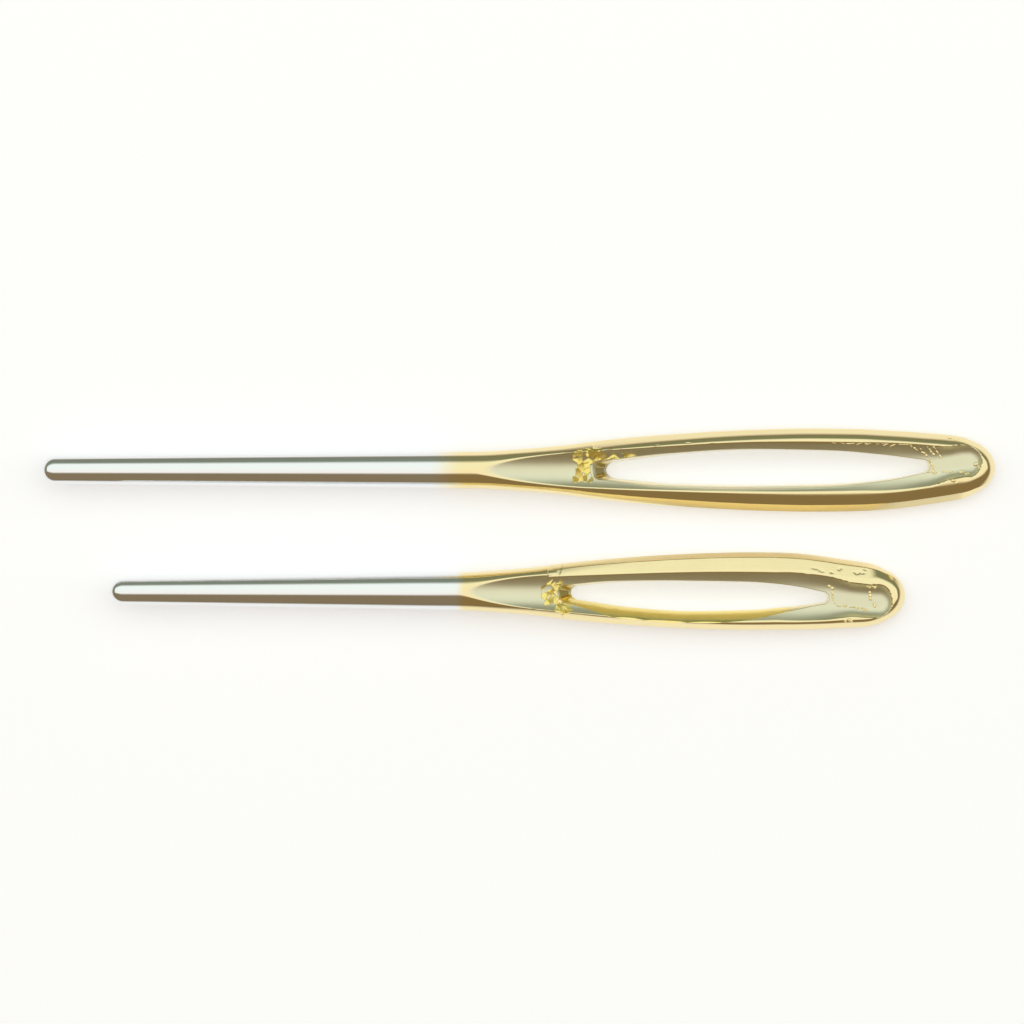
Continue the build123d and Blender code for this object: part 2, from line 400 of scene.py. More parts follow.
    def trough(self, s, y):
        """Height of the stamped gutter, trough and pocket."""
        stamp, sizes = self.stamp, self.sizes
        web = stamp.web_half_thickness
        start = sizes.shoulder - stamp.gutter_lead
        end = self.hole_start - stamp.end_flare
        above = sizes.shoulder_radius + stamp.plate_thickness
        fall = (above - web) / (end - start)
        middle = self.hole_start + sizes.hole_length / 2
        closing = self.hole_start + TROUGH_CLOSE * sizes.hole_length
        floors = [
            (start - stamp.shank_lead, above + fall * stamp.shank_lead),
            (start, above),
            (end, web),
            (middle, web - stamp.trough_dip),
            (self.hole_end, web),
        ]
        radii = [
            (end, stamp.gutter_radius),
            (middle, stamp.trough_radius),
            (closing, stamp.trough_radius),
            (self.hole_end + POCKET_FULL * sizes.head_web, stamp.pocket_radius),
        ]
        flats = [(closing, 0.0), (self.hole_end, stamp.pocket_floor)]
        floor = smooth_through(floors, s) - self.inset
        radius = smooth_through(radii, s) + self.inset
        flat = smooth_through(flats, s)
        climb = stamp.head_half_thickness - web
        wall = math.sqrt(climb * (2 * stamp.pocket_radius - climb))
        turn = self.full_length - stamp.pocket_rim - POCKET_ROUNDNESS * (stamp.pocket_floor + wall)
        past = np.maximum(s - turn, 0) / POCKET_ROUNDNESS
        bend = np.maximum(np.hypot(y - self.drift(s), past) - flat, 0)
        return floor + radius - np.sqrt(np.maximum(radius**2 - bend**2, TROUGH_WALL * radius**2))

    def top(self, s, y):
        """Height of the finished face without its marks."""
        height = soft_min(self.flank(s, y), self.trough(s, y), self.stamp.ridge_round)
        return np.maximum(height, 0)

    def stamped(self, s, y):
        """1 in the stamped troughs and 0 on the outer form."""
        return np.clip((self.flank(s, y) - self.trough(s, y)) / STAMPED_DEPTH, 0, 1)

    def tear(self, boxes, seed):
        """Breaks the upper face into tilted facets inside boxes, which are in millimetres."""
        draw = np.random.default_rng(seed)
        step = self.stamp.facet_size
        boxes = np.array(boxes) * MM
        starts, ends, lows, highs = boxes.T
        s, y = np.meshgrid(
            np.arange(starts.min() - step, ends.max() + 2 * step, step),
            np.arange(lows.min() - step, highs.max() + 2 * step, step),
        )
        places = np.stack([s.ravel(), y.ravel()], axis=1)
        places += draw.uniform(-FACET_JITTER, FACET_JITTER, places.shape) * step
        s, y = places.T
        on = np.zeros(len(places))
        for start, end, low, high in boxes:
            on = np.maximum(on, (s > start) & (s < end) & (y > low) & (y < high))
        tilts = draw.uniform(-FACET_TILT, FACET_TILT, places.shape)
        tilts[:, 1] -= FACET_LEAN * (y > 0)
        lifts = draw.uniform(*FACET_LIFTS, len(places)) * MM
        self.facets = places, on, tilts, lifts

    def torn(self, s, y):
        """Share and height of the torn facets."""
        if self.facets is None:
            return 0 * s * y, 0 * s * y
        places, on, tilts, lifts = self.facets
        s, y = np.broadcast_arrays(s, y)
        away_s = s[..., None] - places[:, 0]
        away_y = y[..., None] - places[:, 1]
        nearest = np.argmin(away_s**2 + (FACET_STRETCH * away_y) ** 2, axis=-1)
        tilt = tilts[nearest]
        height = lifts[nearest] + tilt[..., 0] * (s - places[nearest, 0])
        height = height + tilt[..., 1] * (y - places[nearest, 1])
        return on[nearest], on[nearest] * height

    def upper(self, s, y):
        """Height of the upper face with its torn facets and pits."""
        height = self.top(s, y) + self.torn(s, y)[1]
        for place, side, long, wide, depth in self.pits:
            height = height - depth * np.exp(-(((s - place) / long) ** 2) - ((y - side) / wide) ** 2)
        return np.minimum(height, self.flank(s, y) + TORN_RISE)

    def hole(self, along, height, grow, side):
        """Place of the hole's edge at a height. along runs from 0 to 3: near arc, side, far arc."""
        stamp, sizes = self.stamp, self.sizes
        grow = grow + self.inset
        share = (height + stamp.web_half_thickness) / (2 * stamp.web_half_thickness)
        flare = sizes.far_flare if side > 0 else sizes.near_flare
        end = self.hole_end + stamp.head_flare * share + grow
        start = self.hole_start - stamp.end_flare * share - grow
        half = sizes.hole_half_width + flare * np.maximum(share, 0) ** 2 + grow
        near, far = half * HOLE_SIDE_SHARES[0][1], half * HOLE_SIDE_SHARES[-1][1]
        turn = np.clip(along, 0, 1) * math.pi / 2
        last = np.clip(along - 2, 0, 1) * math.pi / 2
        run = np.clip(along - 1, 0, 1)
        s = start + near * (1 - np.cos(turn)) + run * (end - far - start - near) + far * np.sin(last)
        bulge = half * smooth_through(HOLE_SIDE_SHARES, run)
        away = np.where(along < 1, near * np.sin(turn), np.where(along > 2, far * np.cos(last), bulge))
        return s, self.drift(s) + side * away


# Meshes

# Quarters of a needle: upper (1) or lower (-1) face, far (1) or near (-1) side
QUARTERS = [(1, 1), (1, -1), (-1, 1), (-1, -1)]
# Rows round the nose, round each end of the hole, round the head up to its last turn, down the hole's wall
NOSE_ROWS, ARC_ROWS, HEAD_ROWS, WALL_ROWS = 14, 13, 36, 8
HEAD_TURN = math.radians(84)
# Stretch before the hole that has close rows
CLOSE_LEAD = 2.2 * MM
# How the columns spread from the outline to the middle: part of a cosine and part even
COSINE_PART, EVEN_PART = 0.8, 0.2
# Stretch beyond each end of the hole where the rows swing back to their places
SWING = 3 * MM
# Passes that bring the hole's edge and the height of the face together
RIM_PASSES = 4
# Turns in degrees of the rounded edge of the hole
EDGE_TURNS = (0, 22.5, 45, 67.5, 90)
# Stretches where the painted reflection on a wall of the hole begins and ends
WALL_START_FADE, WALL_END_FADE = 0.3 * MM, 2 * MM
# Height over the middle plane under which no face counts as stamped
LEAST_STAMPED = 0.3 * MM
# Points closer than the first are merged, and edges shorter than the second are dissolved
MERGE_DISTANCE, LEAST_EDGE = 0.00002 * MM, 0.00001 * MM
# Edges with a greater turn than this are shown sharp
SHARP_ANGLE = math.radians(32)
# Columns of a quarter's grid, and steps between its rows
STEEL_COLUMNS, SHANK_STEP, CORE_STEP = 24, 0.16 * MM, 0.3 * MM
GOLD_COLUMNS, GOLD_STEP, CLOSE_STEP, INNER_STEP = 50, 0.17 * MM, 0.04 * MM, 0.9 * MM
# Least gap between the last row of the bare shank and the gold plate
LAST_GAP = 0.05 * MM


def stations(form, start, coarse, fine):
    """Lengthwise places of a mesh, and where each lies along the hole from 0 to 3, or -1."""
    near = form.hole(np.array([0.0]), 0.0, 0.0, 1)[0][0]
    far = form.hole(np.array([3.0]), 0.0, 0.0, 1)[0][0]
    fine_from = near - CLOSE_LEAD
    shank = np.arange(start, fine_from, coarse)
    if start == 0:
        nose = form.stamp.nose_length
        rounded = nose * (1 - np.cos(np.linspace(0, math.pi / 2, NOSE_ROWS)))
        shank = np.concatenate([rounded, np.arange(nose + coarse, fine_from, coarse)])
    before = np.concatenate([shank, np.arange(fine_from, near - fine / 2, fine)])
    side = np.linspace(1, 2, int(form.sizes.hole_length / coarse))
    along = np.concatenate([np.linspace(0, 1, ARC_ROWS), side[1:], np.linspace(2, 3, ARC_ROWS)[1:]])
    middle, _ = form.hole(along, 0.0, 0.0, 1)
    head = form.length - form.stamp.head_length
    neck = np.arange(far + coarse / 2, head, coarse / 2)
    turns = np.append(np.linspace(0, HEAD_TURN, HEAD_ROWS), math.pi / 2)
    after = np.concatenate([neck, head + form.stamp.head_length * np.sin(turns)])
    s = np.concatenate([before, middle, after])
    index = np.concatenate([np.full(len(before), -1.0), along, np.full(len(after), -1.0)])
    return s, index


def across(count):
    """Shares of a quarter's width from its outline to the middle, closer together at the outline."""
    t = np.linspace(0, 1, count + 1)
    return COSINE_PART * np.cos(t * math.pi / 2) + EVEN_PART * (1 - t)


def face_surface(form, face):
    """Height function of the upper (1) or the lower (-1) face."""
    return form.upper if face > 0 else form.top


def hole_edge(form, along, face, side):
    """Rim of the hole on the upper (1) or lower (-1) face: place along, across and height."""
    height = np.full(len(along), face * form.stamp.web_half_thickness)
    surface = face_surface(form, face)
    for _ in range(RIM_PASSES):
        s, y = form.hole(along, height, form.stamp.hole_round, side)
        height = face * surface(s, y)
    return s, y, height


def quarter(form, s_outer, along, count, face, side):
    """Grid over a quarter of the needle, from its outline to the hole or the middle."""
    inside = along >= 0
    s_inner = s_outer.copy()
    edge_s, edge_y, _ = hole_edge(form, along[inside], face, side)
    s_inner[inside] = edge_s
    first, last = np.flatnonzero(inside)[[0, -1]]
    for edge, way in ((first, -1), (last, 1)):
        shift = s_inner[edge] - s_outer[edge]
        away = np.clip(way * (s_outer - s_outer[edge]) / SWING, 0, 1)
        beyond = ~inside & (way * (np.arange(len(s_outer)) - edge) > 0)
        s_inner[beyond] += (shift * (1 - away) ** 3)[beyond]
    y_inner = form.seam(s_inner)
    y_inner[inside] = edge_y
    t = np.linspace(0, 1, count + 1)
    s = s_outer[:, None] + t * (s_inner - s_outer)[:, None]
    width, _ = form.section(s)
    y = y_inner[:, None] + (side * width - y_inner[:, None]) * across(count)
    y[:, -1] = y_inner
    height = face_surface(form, face)(s, y)
    height[:, 0] = 0
    torn = form.torn(s, y)[0] if face > 0 else 0 * s
    return s, y, face * height, torn


def hole_wall(form, along, side, rows):
    """Grid over one side of the hole's wall, with rounded edges."""
    top_s, top_y, top_z = hole_edge(form, along, 1, side)
    low_s, low_y, low_z = hole_edge(form, along, -1, side)
    radius = form.stamp.hole_round
    offsets = [(1 - math.sin(turn), 1 - math.cos(turn)) for turn in np.radians(EDGE_TURNS)]
    levels = [(top_z - down * radius, grow * radius) for grow, down in offsets]
    for share in np.linspace(0, 1, rows + 2)[1:-1]:
        levels.append(((top_z - radius) * (1 - share) + (low_z + radius) * share, 0.0))
    levels += [(low_z + down * radius, grow * radius) for grow, down in reversed(offsets)]
    places = [form.hole(along, height, grow, side) for height, grow in levels]
    s = np.array([place[0] for place in places])
    y = np.array([place[1] for place in places])
    z = np.array([height for height, _ in levels])
    s[0], y[0], s[-1], y[-1] = top_s, top_y, low_s, low_y
    # Painted reflection on this wall, carried in the torn mark as deep gold
    torn = 0 * s
    for wall_side, start, end, share in form.painted_reflection_wall:
        reach = soft_step(start, start + WALL_START_FADE, s) * (1 - soft_step(end - WALL_END_FADE, end, s))
        torn = np.maximum(torn, share * reach * (wall_side == side))
    return s.T, y.T, z.T, torn.T


def shell_grids(form, s_outer, along, count):
    """Every grid of one closed skin, each with the way that its faces turn."""
    grids = []
    for face, side in QUARTERS:
        grids.append((quarter(form, s_outer, along, count, face, side), face * side > 0))
    rim = along[along >= 0]
    for side in (1, -1):
        grids.append((hole_wall(form, rim, side, WALL_ROWS), side > 0))
    return grids


def grid_faces(rows, columns, first, turned):
    """Quads of a grid of vertices."""
    j, i = np.meshgrid(np.arange(rows - 1), np.arange(columns - 1), indexing="ij")
    a = first + j * columns + i
    quads = np.stack([a, a + 1, a + columns + 1, a + columns], axis=-1).reshape(-1, 4)
    return quads[:, ::-1] if turned else quads


def add_grids(form, grids, points, faces, marks, outward=True):
    """Adds grids to growing lists of points, faces and surface marks."""
    for (s, y, z, torn), turned in grids:
        first = sum(len(p) for p in points)
        points.append(form.world(s, y, z).reshape(-1, 3))
        faces.append(grid_faces(*s.shape, first, turned != outward))
        stamped = form.stamped(s, y) * (np.abs(z) > LEAST_STAMPED)
        marks.append(np.stack([stamped, torn], axis=-1).reshape(-1, 2))


def ring(form_a, form_b, s, count, points, faces, marks):
    """Narrow ring that joins two skins across the shank at one place."""
    place = np.full(count + 1, s)
    for face, side in QUARTERS:
        rows = []
        for form in (form_a, form_b):
            width, _ = form.section(np.array([s]))
            y = side * width * across(count)
            height = form.top(place, y)
            height[0] = 0
            rows.append(form.world(place, y, face * height))
        first = sum(len(p) for p in points)
        points.append(np.concatenate(rows))
        faces.append(grid_faces(2, count + 1, first, face * side < 0))
        marks.append(np.zeros((2 * (count + 1), 2)))


def mesh_object(name, points, faces, marks):
    """Closed mesh object from the lists, with its marks as attributes."""
    mesh = bpy.data.meshes.new(name)
    mesh.from_pydata(np.concatenate(points).tolist(), [], np.concatenate(faces).tolist())
    values = np.concatenate(marks).astype(np.float32)
    for column, label in enumerate(("stamped", "torn")):
        layer = mesh.attributes.new(label, "FLOAT", "POINT")
        layer.data.foreach_set("value", np.ascontiguousarray(values[:, column]))
    work = bmesh.new()
    work.from_mesh(mesh)
    bmesh.ops.remove_doubles(work, verts=work.verts, dist=MERGE_DISTANCE)
    bmesh.ops.dissolve_degenerate(work, dist=LEAST_EDGE, edges=work.edges)
    work.to_mesh(mesh)
    work.free()
    mesh.shade_smooth()
    mesh.set_sharp_from_angle(angle=SHARP_ANGLE)
    made = bpy.data.objects.new(name, mesh)
    bpy.context.scene.collection.objects.link(made)
    return made


def steel_blank(name, form, core):
    """Bare shank at full size, and the core that the gold plate covers."""
    s, _ = stations(form, 0, SHANK_STEP, SHANK_STEP)
    bare = np.append(s[s < form.plating - LAST_GAP], form.plating)
    width, _ = form.section(bare)
    points, faces, marks = [], [], []
    for face, side in QUARTERS:
        y = side * width[:, None] * across(STEEL_COLUMNS)
        s = bare[:, None] + 0 * y
        height = form.top(s, y)
        height[:, 0] = 0
        add_grids(form, [((s, y, face * height, 0 * y), face * side > 0)], points, faces, marks)
    ring(form, core, form.plating, STEEL_COLUMNS, points, faces, marks)
    s, along = stations(core, form.plating, CORE_STEP, CORE_STEP)
    add_grids(core, shell_grids(core, s, along, STEEL_COLUMNS), points, faces, marks)
    return mesh_object(name, points, faces, marks)


def gold_plate(name, form, core):
    """Gold skin over the eye half, closed by its inner face and by a ring on the shank."""
    points, faces, marks = [], [], []
    s, along = stations(form, form.plating, GOLD_STEP, CLOSE_STEP)
    add_grids(form, shell_grids(form, s, along, GOLD_COLUMNS), points, faces, marks)
    s, along = stations(core, form.plating, INNER_STEP, INNER_STEP)
    add_grids(core, shell_grids(core, s, along, GOLD_COLUMNS), points, faces, marks, outward=False)
    ring(core, form, form.plating, GOLD_COLUMNS, points, faces, marks)
    return mesh_object(name, points, faces, marks)


# Shader nodes

# Roughness of the polish, added by smudges and added where a face is stamped
POLISH_ROUGHNESS, SMUDGE_ROUGHNESS, STAMPED_ROUGHNESS = 0.05, 0.12, 0.28
# Polishing lines run along the needle, so their pattern is stretched along it
LINE_STRETCH = (0.03, 1.0, 1.0)
LINE_DEPTH = 0.004 * MM


def feed(tree, socket, value):
    """Links an input to another node's output, or gives it a plain value."""
    if isinstance(value, bpy.types.NodeSocket):
        tree.links.new(value, socket)
    else:
        socket.default_value = value


def node(tree, kind, x, y, **values):
    """New node with its place, its properties and its inputs set."""
    made = tree.nodes.new(kind)
    made.location = (x, y)
    for key, value in values.items():
        if hasattr(made, key):
            setattr(made, key, value)
        else:
            feed(tree, made.inputs[key.replace("_", " ")], value)
    return made


def math_node(tree, operation, x, y, a, b):
    """Result of a math node fed by sockets or numbers."""
    made = node(tree, "ShaderNodeMath", x, y, operation=operation)
    feed(tree, made.inputs[0], a)
    feed(tree, made.inputs[1], b)
    return made.outputs[0]


def mix_colour(tree, x, y, share, a, b):
    """Mix of two colours, each a socket or three numbers."""
    made = node(tree, "ShaderNodeMix", x, y, data_type="RGBA")
    feed(tree, made.inputs[0], share)
    for place, value in ((6, a), (7, b)):
        feed(tree, made.inputs[place], value if isinstance(value, bpy.types.NodeSocket) else (*value, 1))
    return made.outputs[2]


def new_group(name, inputs, outputs):
    """Empty shader node group, with the sockets of its inputs and of its float outputs."""
    tree = bpy.data.node_groups.new(name, "ShaderNodeTree")
    for label, kind, value in inputs:
        socket = tree.interface.new_socket(label, in_out="INPUT", socket_type=kind)
        if value is not None:
            socket.default_value = value
    for label in outputs:
        tree.interface.new_socket(label, in_out="OUTPUT", socket_type="NodeSocketFloat")
    source, result = node(tree, "NodeGroupInput", -1000, 0), node(tree, "NodeGroupOutput", 700, 0)
    return tree, source.outputs, result.inputs


def plating_line_group():
    """Group with the share of gold along a needle: 0 before the line and 1 on the plated side."""
    tree, source, result = new_group(
        "Plating Line",
        [
            ("Vector", "NodeSocketVector", None),
            ("Edge", "NodeSocketFloat", 0.0),
            ("Softness", "NodeSocketFloat", 0.8 * MM),
            ("Wander", "NodeSocketFloat", 0.4 * MM),
        ],
        ["Gold"],
    )
    place = source["Vector"]
    noise = node(tree, "ShaderNodeTexNoise", -400, -200, Scale=900.0, Detail=2.0, Vector=place)
    split = node(tree, "ShaderNodeSeparateXYZ", -400, 100, Vector=place)
    drift = math_node(tree, "SUBTRACT", -200, -200, noise.outputs[0], 0.5)
    drift = math_node(tree, "MULTIPLY", 0, -200, drift, source["Wander"])
    past = math_node(tree, "SUBTRACT", -200, 100, split.outputs[0], source["Edge"])
    past = math_node(tree, "ADD", 0, 100, past, drift)
    share = math_node(tree, "DIVIDE", 200, 100, past, source["Softness"])
    ramp = node(tree, "ShaderNodeMapRange", 400, 100, interpolation_type="SMOOTHSTEP", From_Min=-1.0)
    feed(tree, ramp.inputs["Value"], share)
    feed(tree, result["Gold"], ramp.outputs[0])
    return tree


def handled_metal_group():
    """Group with the smudges and the fine lengthwise polishing lines of a handled needle."""
    tree, source, result = new_group(
        "Handled Metal",
        [
            ("Vector", "NodeSocketVector", None),
            ("Smudge Scale", "NodeSocketFloat", 350.0),
            ("Line Scale", "NodeSocketFloat", 9000.0),
        ],
        ["Smudge", "Lines"],
    )
    place = source["Vector"]
    smudge = node(tree, "ShaderNodeTexNoise", -200, 200, Detail=4.0, Roughness=0.6, Vector=place)
    feed(tree, smudge.inputs["Scale"], source["Smudge Scale"])
    along = node(tree, "ShaderNodeMapping", -400, -100, Scale=LINE_STRETCH, Vector=place).outputs[0]
    lines = node(tree, "ShaderNodeTexNoise", -200, -100, Detail=3.0, Roughness=0.7, Vector=along)
    feed(tree, lines.inputs["Scale"], source["Line Scale"])
    feed(tree, result["Smudge"], smudge.outputs[0])
    feed(tree, result["Lines"], lines.outputs[0])
    return tree


def attribute_share(tree, name, x, y):
    """Value of a mesh attribute."""
    return node(tree, "ShaderNodeAttribute", x, y, attribute_name=name).outputs["Fac"]


def plated_material(name, groups, edge, softness, finish):
    """Needle plating: nickel, gold past the line, duller with painted shade in the troughs, deep gold where
    torn and as a painted reflection on one hole wall.
    """
    material = bpy.data.materials.new(name)
    material.use_nodes = True
    tree = material.node_tree
    tree.nodes.clear()
    place = node(tree, "ShaderNodeTexCoord", -1000, 0).outputs["Object"]
    line = node(tree, "ShaderNodeGroup", -700, 300, node_tree=groups["line"], Vector=place)
    feed(tree, line.inputs["Edge"], edge)
    feed(tree, line.inputs["Softness"], softness)
    wear = node(tree, "ShaderNodeGroup", -700, -100, node_tree=groups["wear"], Vector=place).outputs
    stamped = attribute_share(tree, "stamped", -700, -400)
    torn = attribute_share(tree, "torn", -700, -600)
    # Painted shade in the stamped troughs, then deep gold on torn metal and on the painted reflection of
    # one hole wall
    gold = mix_colour(tree, -300, 300, stamped, finish.gold, finish.stamped_gold_and_shade)
    gold = mix_colour(tree, -100, 300, torn, gold, finish.torn_gold_and_reflection)
    colour = mix_colour(tree, 100, 300, line.outputs["Gold"], finish.nickel, gold)
    smudge = math_node(tree, "MULTIPLY", -300, -100, wear["Smudge"], SMUDGE_ROUGHNESS)
    dull = math_node(tree, "MULTIPLY", -300, -300, stamped, STAMPED_ROUGHNESS)
    rough = math_node(tree, "ADD", -100, -200, smudge, dull)
    rough = math_node(tree, "ADD", 100, -200, rough, POLISH_ROUGHNESS)
    bump = node(tree, "ShaderNodeBump", 300, -400, Strength=0.25, Distance=LINE_DEPTH, Height=wear["Lines"])
    shader = node(
        tree, "ShaderNodeBsdfPrincipled", 600, 0,
        Metallic=1.0, Base_Color=colour, Roughness=rough, Normal=bump.outputs[0],
    )
    node(tree, "ShaderNodeOutputMaterial", 900, 0, Surface=shader.outputs[0])
    return material


def shared_groups():
    """Node groups that every plating uses, made once."""
    names = {"line": ("Plating Line", plating_line_group), "wear": ("Handled Metal", handled_metal_group)}
    return {key: bpy.data.node_groups.get(title) or make() for key, (title, make) in names.items()}


# Marks that the punch left, in millimetres from the tip and from the axis

# Boxes of torn metal: start, end, low side and high side
LONG_TEARS = [(39.1, 40.45, -1.05, 1.45), (40.3, 41.7, 0.3, 1.45), (41.5, 43.6, 0.75, 1.15)]
SHORT_TEARS = [(31.8, 33.0, -1.0, 0.95), (32.8, 33.6, -1.45, -0.75)]
LONG_TEAR_SEED, SHORT_TEAR_SEED = 5, 9
# Boxes of small pits: seed, count, start, end, low side and high side
LONG_PITS = (3, 5, 44.0, 56.0, 1.5, 2.2)
SHORT_PITS = (4, 14, 48.8, 55.6, 1.3, 1.9)
# Least and most length and width of a pit, and its depth
PIT_LENGTHS, PIT_WIDTHS, PIT_DEPTH = (0.05, 0.13), (0.04, 0.07), 0.05
# Dent beside the short needle's gutter: place along, across, length, width and depth
SHORT_DENT = (32.3, 1.5, 0.2, 0.12, 0.08)
# Painted reflection on one wall of the short hole, in deep gold: side, start, end and share of deep gold
SHORT_PAINTED_REFLECTION_WALL = (-1, 32.8 * MM, 51.0 * MM, 0.8)
# Strokes of burrs: start and end along and across, thickness, count
LONG_STROKES = [
    (63.7, 1.75, 64.25, 1.4, 0.07, 3),
    (64.45, 1.5, 65.05, 0.9, 0.07, 4),
    (64.9, 1.65, 65.5, 1.0, 0.07, 4),
    (65.35, 1.75, 65.95, 0.85, 0.07, 4),
    (65.2, 0.85, 65.5, -0.4, 0.09, 6),
    (64.9, -0.25, 67.8, -0.3, 0.07, 9),
    (58.0, 1.98, 64.0, 1.85, 0.04, 14),
    (68.5, 0.3, 68.85, -0.1, 0.14, 3),
    (67.4, -0.3, 68.1, -0.5, 0.12, 4),
    (66.7, -0.9, 67.2, -1.2, 0.12, 3),
    (66.5, 2.2, 67.6, 1.9, 0.13, 5),
]
SHORT_STROKES = [
    (55.5, 0.65, 56.2, 0.55, 0.12, 4),
    (55.2, -1.05, 55.6, -1.1, 0.1, 2),
    (53.9, -1.95, 54.4, -2.0, 0.13, 3),
    (52.7, 0.5, 53.1, 0.4, 0.1, 2),
    (53.3, -0.9, 55.3, -1.0, 0.08, 7),
    (55.7, 0.3, 56.1, -0.9, 0.1, 5),
    (53.0, 0.1, 53.2, -0.8, 0.08, 4),
    (32.4, 0.6, 33.0, -1.1, 0.13, 6),
]
BURR_SEED = 7
# Part of its step of the stroke in which a grain lies, and how far it strays in shares of the thickness
GRAIN_STEP, GRAIN_STRAY = (0.1, 0.9), 0.4
# How far a grain turns off its stroke, and how far it tips up or down
GRAIN_TURN, GRAIN_TIP = 0.3, 0.1
# Least and most size of a grain, and shares of the step that it fills and of the thickness that it rises
GRAIN_SIZES, GRAIN_FILL, GRAIN_RISE = (0.6, 1.3), 0.6, 0.6
# Share of deep gold on the grains
GRAIN_TORN = 0.15


def scattered_pits(seed, count, *box):
    """Small dents scattered over a box: place along, across, length, width and depth."""
    draw = np.random.default_rng(seed)
    start, end, low, high = (value * MM for value in box)
    pits = []
    for _ in range(count):
        place, side = draw.uniform(start, end), draw.uniform(low, high)
        long, wide = draw.uniform(*PIT_LENGTHS) * MM, draw.uniform(*PIT_WIDTHS) * MM
        pits.append((place, side, long, wide, PIT_DEPTH * MM))
    return pits


def burr_tree():
    """Geometry Nodes tree that sets a faceted grain of metal on each point."""
    tree = bpy.data.node_groups.new("Burrs", "GeometryNodeTree")
    tree.interface.new_socket("Geometry", in_out="INPUT", socket_type="NodeSocketGeometry")
    tree.interface.new_socket("Geometry", in_out="OUTPUT", socket_type="NodeSocketGeometry")
    for label, kind, value in (
        ("Segments", "NodeSocketInt", 7),
        ("Rings", "NodeSocketInt", 4),
        ("Spread", "NodeSocketFloat", 0.25),
        ("Seed", "NodeSocketInt", 11),
    ):
        tree.interface.new_socket(label, in_out="INPUT", socket_type=kind).default_value = value
    tree.interface.new_socket("Material", in_out="INPUT", socket_type="NodeSocketMaterial")
    source = node(tree, "NodeGroupInput", -1000, 0).outputs
    grain = node(
        tree, "GeometryNodeMeshUVSphere", -700, -200,
        Radius=1.0, Segments=source["Segments"], Rings=source["Rings"],
    )
    mark = node(
        tree, "GeometryNodeStoreNamedAttribute", -500, -200,
        data_type="FLOAT", domain="POINT", Geometry=grain.outputs[0], Name="torn", Value=GRAIN_TORN,
    )
    named = "GeometryNodeInputNamedAttribute"
    aim = node(tree, named, -900, -400, data_type="FLOAT_VECTOR", Name="aim").outputs[0]
    extent = node(tree, named, -900, -600, data_type="FLOAT_VECTOR", Name="extent").outputs[0]
    turn = node(tree, "FunctionNodeAlignRotationToVector", -700, -400, axis="X", Vector=aim)
    vary = node(tree, "FunctionNodeRandomValue", -700, -800, data_type="FLOAT", Seed=source["Seed"])
    least, most = [socket for socket in vary.inputs if socket.type == "VALUE"][:2]
    feed(tree, least, math_node(tree, "SUBTRACT", -900, -800, 1.0, source["Spread"]))
    feed(tree, most, math_node(tree, "ADD", -900, -950, 1.0, source["Spread"]))
    share = next(socket for socket in vary.outputs if socket.type == "VALUE")
    scale = node(tree, "ShaderNodeVectorMath", -500, -600, operation="SCALE", Vector=extent, Scale=share)
    place = node(
        tree, "GeometryNodeInstanceOnPoints", -300, 0,
        Points=source["Geometry"], Instance=mark.outputs[0],
        Rotation=turn.outputs[0], Scale=scale.outputs[0],
    )
    real = node(tree, "GeometryNodeRealizeInstances", -100, 0, Geometry=place.outputs[0]).outputs[0]
    finish = node(tree, "GeometryNodeSetMaterial", 100, 0, Geometry=real, Material=source["Material"])
    node(tree, "NodeGroupOutput", 300, 0, Geometry=finish.outputs[0])
    return tree


def burr_points(name, form, strokes):
    """Points along strokes, each with the way that its grain points and the grain's extent."""
    draw = np.random.default_rng(BURR_SEED)
    places, aims, extents = [], [], []
    for s0, y0, s1, y1, thick, count in strokes:
        stray = GRAIN_STRAY * thick
        shares = (np.arange(count) + draw.uniform(*GRAIN_STEP, count)) / count
        s = (s0 + shares * (s1 - s0) + draw.normal(0, stray, count)) * MM
        y = (y0 + shares * (y1 - y0) + draw.normal(0, stray, count)) * MM
        places += form.world(s, y, form.top(s, y)).tolist()
        step = math.hypot(s1 - s0, y1 - y0) / count
        for _ in range(count):
            turned = y1 - y0 + draw.normal(0, GRAIN_TURN) * (s1 - s0)
            aims.append((s1 - s0, turned, draw.normal(0, GRAIN_TIP)))
            long = max(GRAIN_FILL * step, thick) * draw.uniform(*GRAIN_SIZES)
            wide = thick * draw.uniform(*GRAIN_SIZES)
            extents.append((long * MM, wide * MM, GRAIN_RISE * thick * MM))
    mesh = bpy.data.meshes.new(name)
    mesh.from_pydata(places, [], [])
    for label, values in (("aim", aims), ("extent", extents)):
        layer = mesh.attributes.new(label, "FLOAT_VECTOR", "POINT")
        layer.data.foreach_set("vector", np.array(values, np.float32).ravel())
    return mesh


# Operators

def make_needle(context, body, sizes, tears, pits, painted_reflection_wall):
    """Both pieces of one needle, riding on its body. tears holds the boxes and the seed of the facets."""
    stamp, finish = context.scene.stamp_sizes, context.scene.needle_finish
    form = NeedleForm(body, sizes, stamp)
    form.tear(*tears)
    form.pits, form.painted_reflection_wall = pits, painted_reflection_wall
    core = NeedleForm(body, sizes, stamp, stamp.plate_thickness)
    edge = form.tip_x + form.plating
    material = plated_material(f"{body} plating", shared_groups(), edge, sizes.plating_fade, finish)
    blank = steel_blank(f"{body}_steel", form, core)
    plate = gold_plate(f"{body}_gold", form, core)
    for piece, node_name, slot in ((blank, "blank", "nickel_steel"), (plate, "gold_plate", "gold_plate")):
        piece.data.materials.append(material)
        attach(piece, body)
        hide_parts(f"{body}_{node_name}")


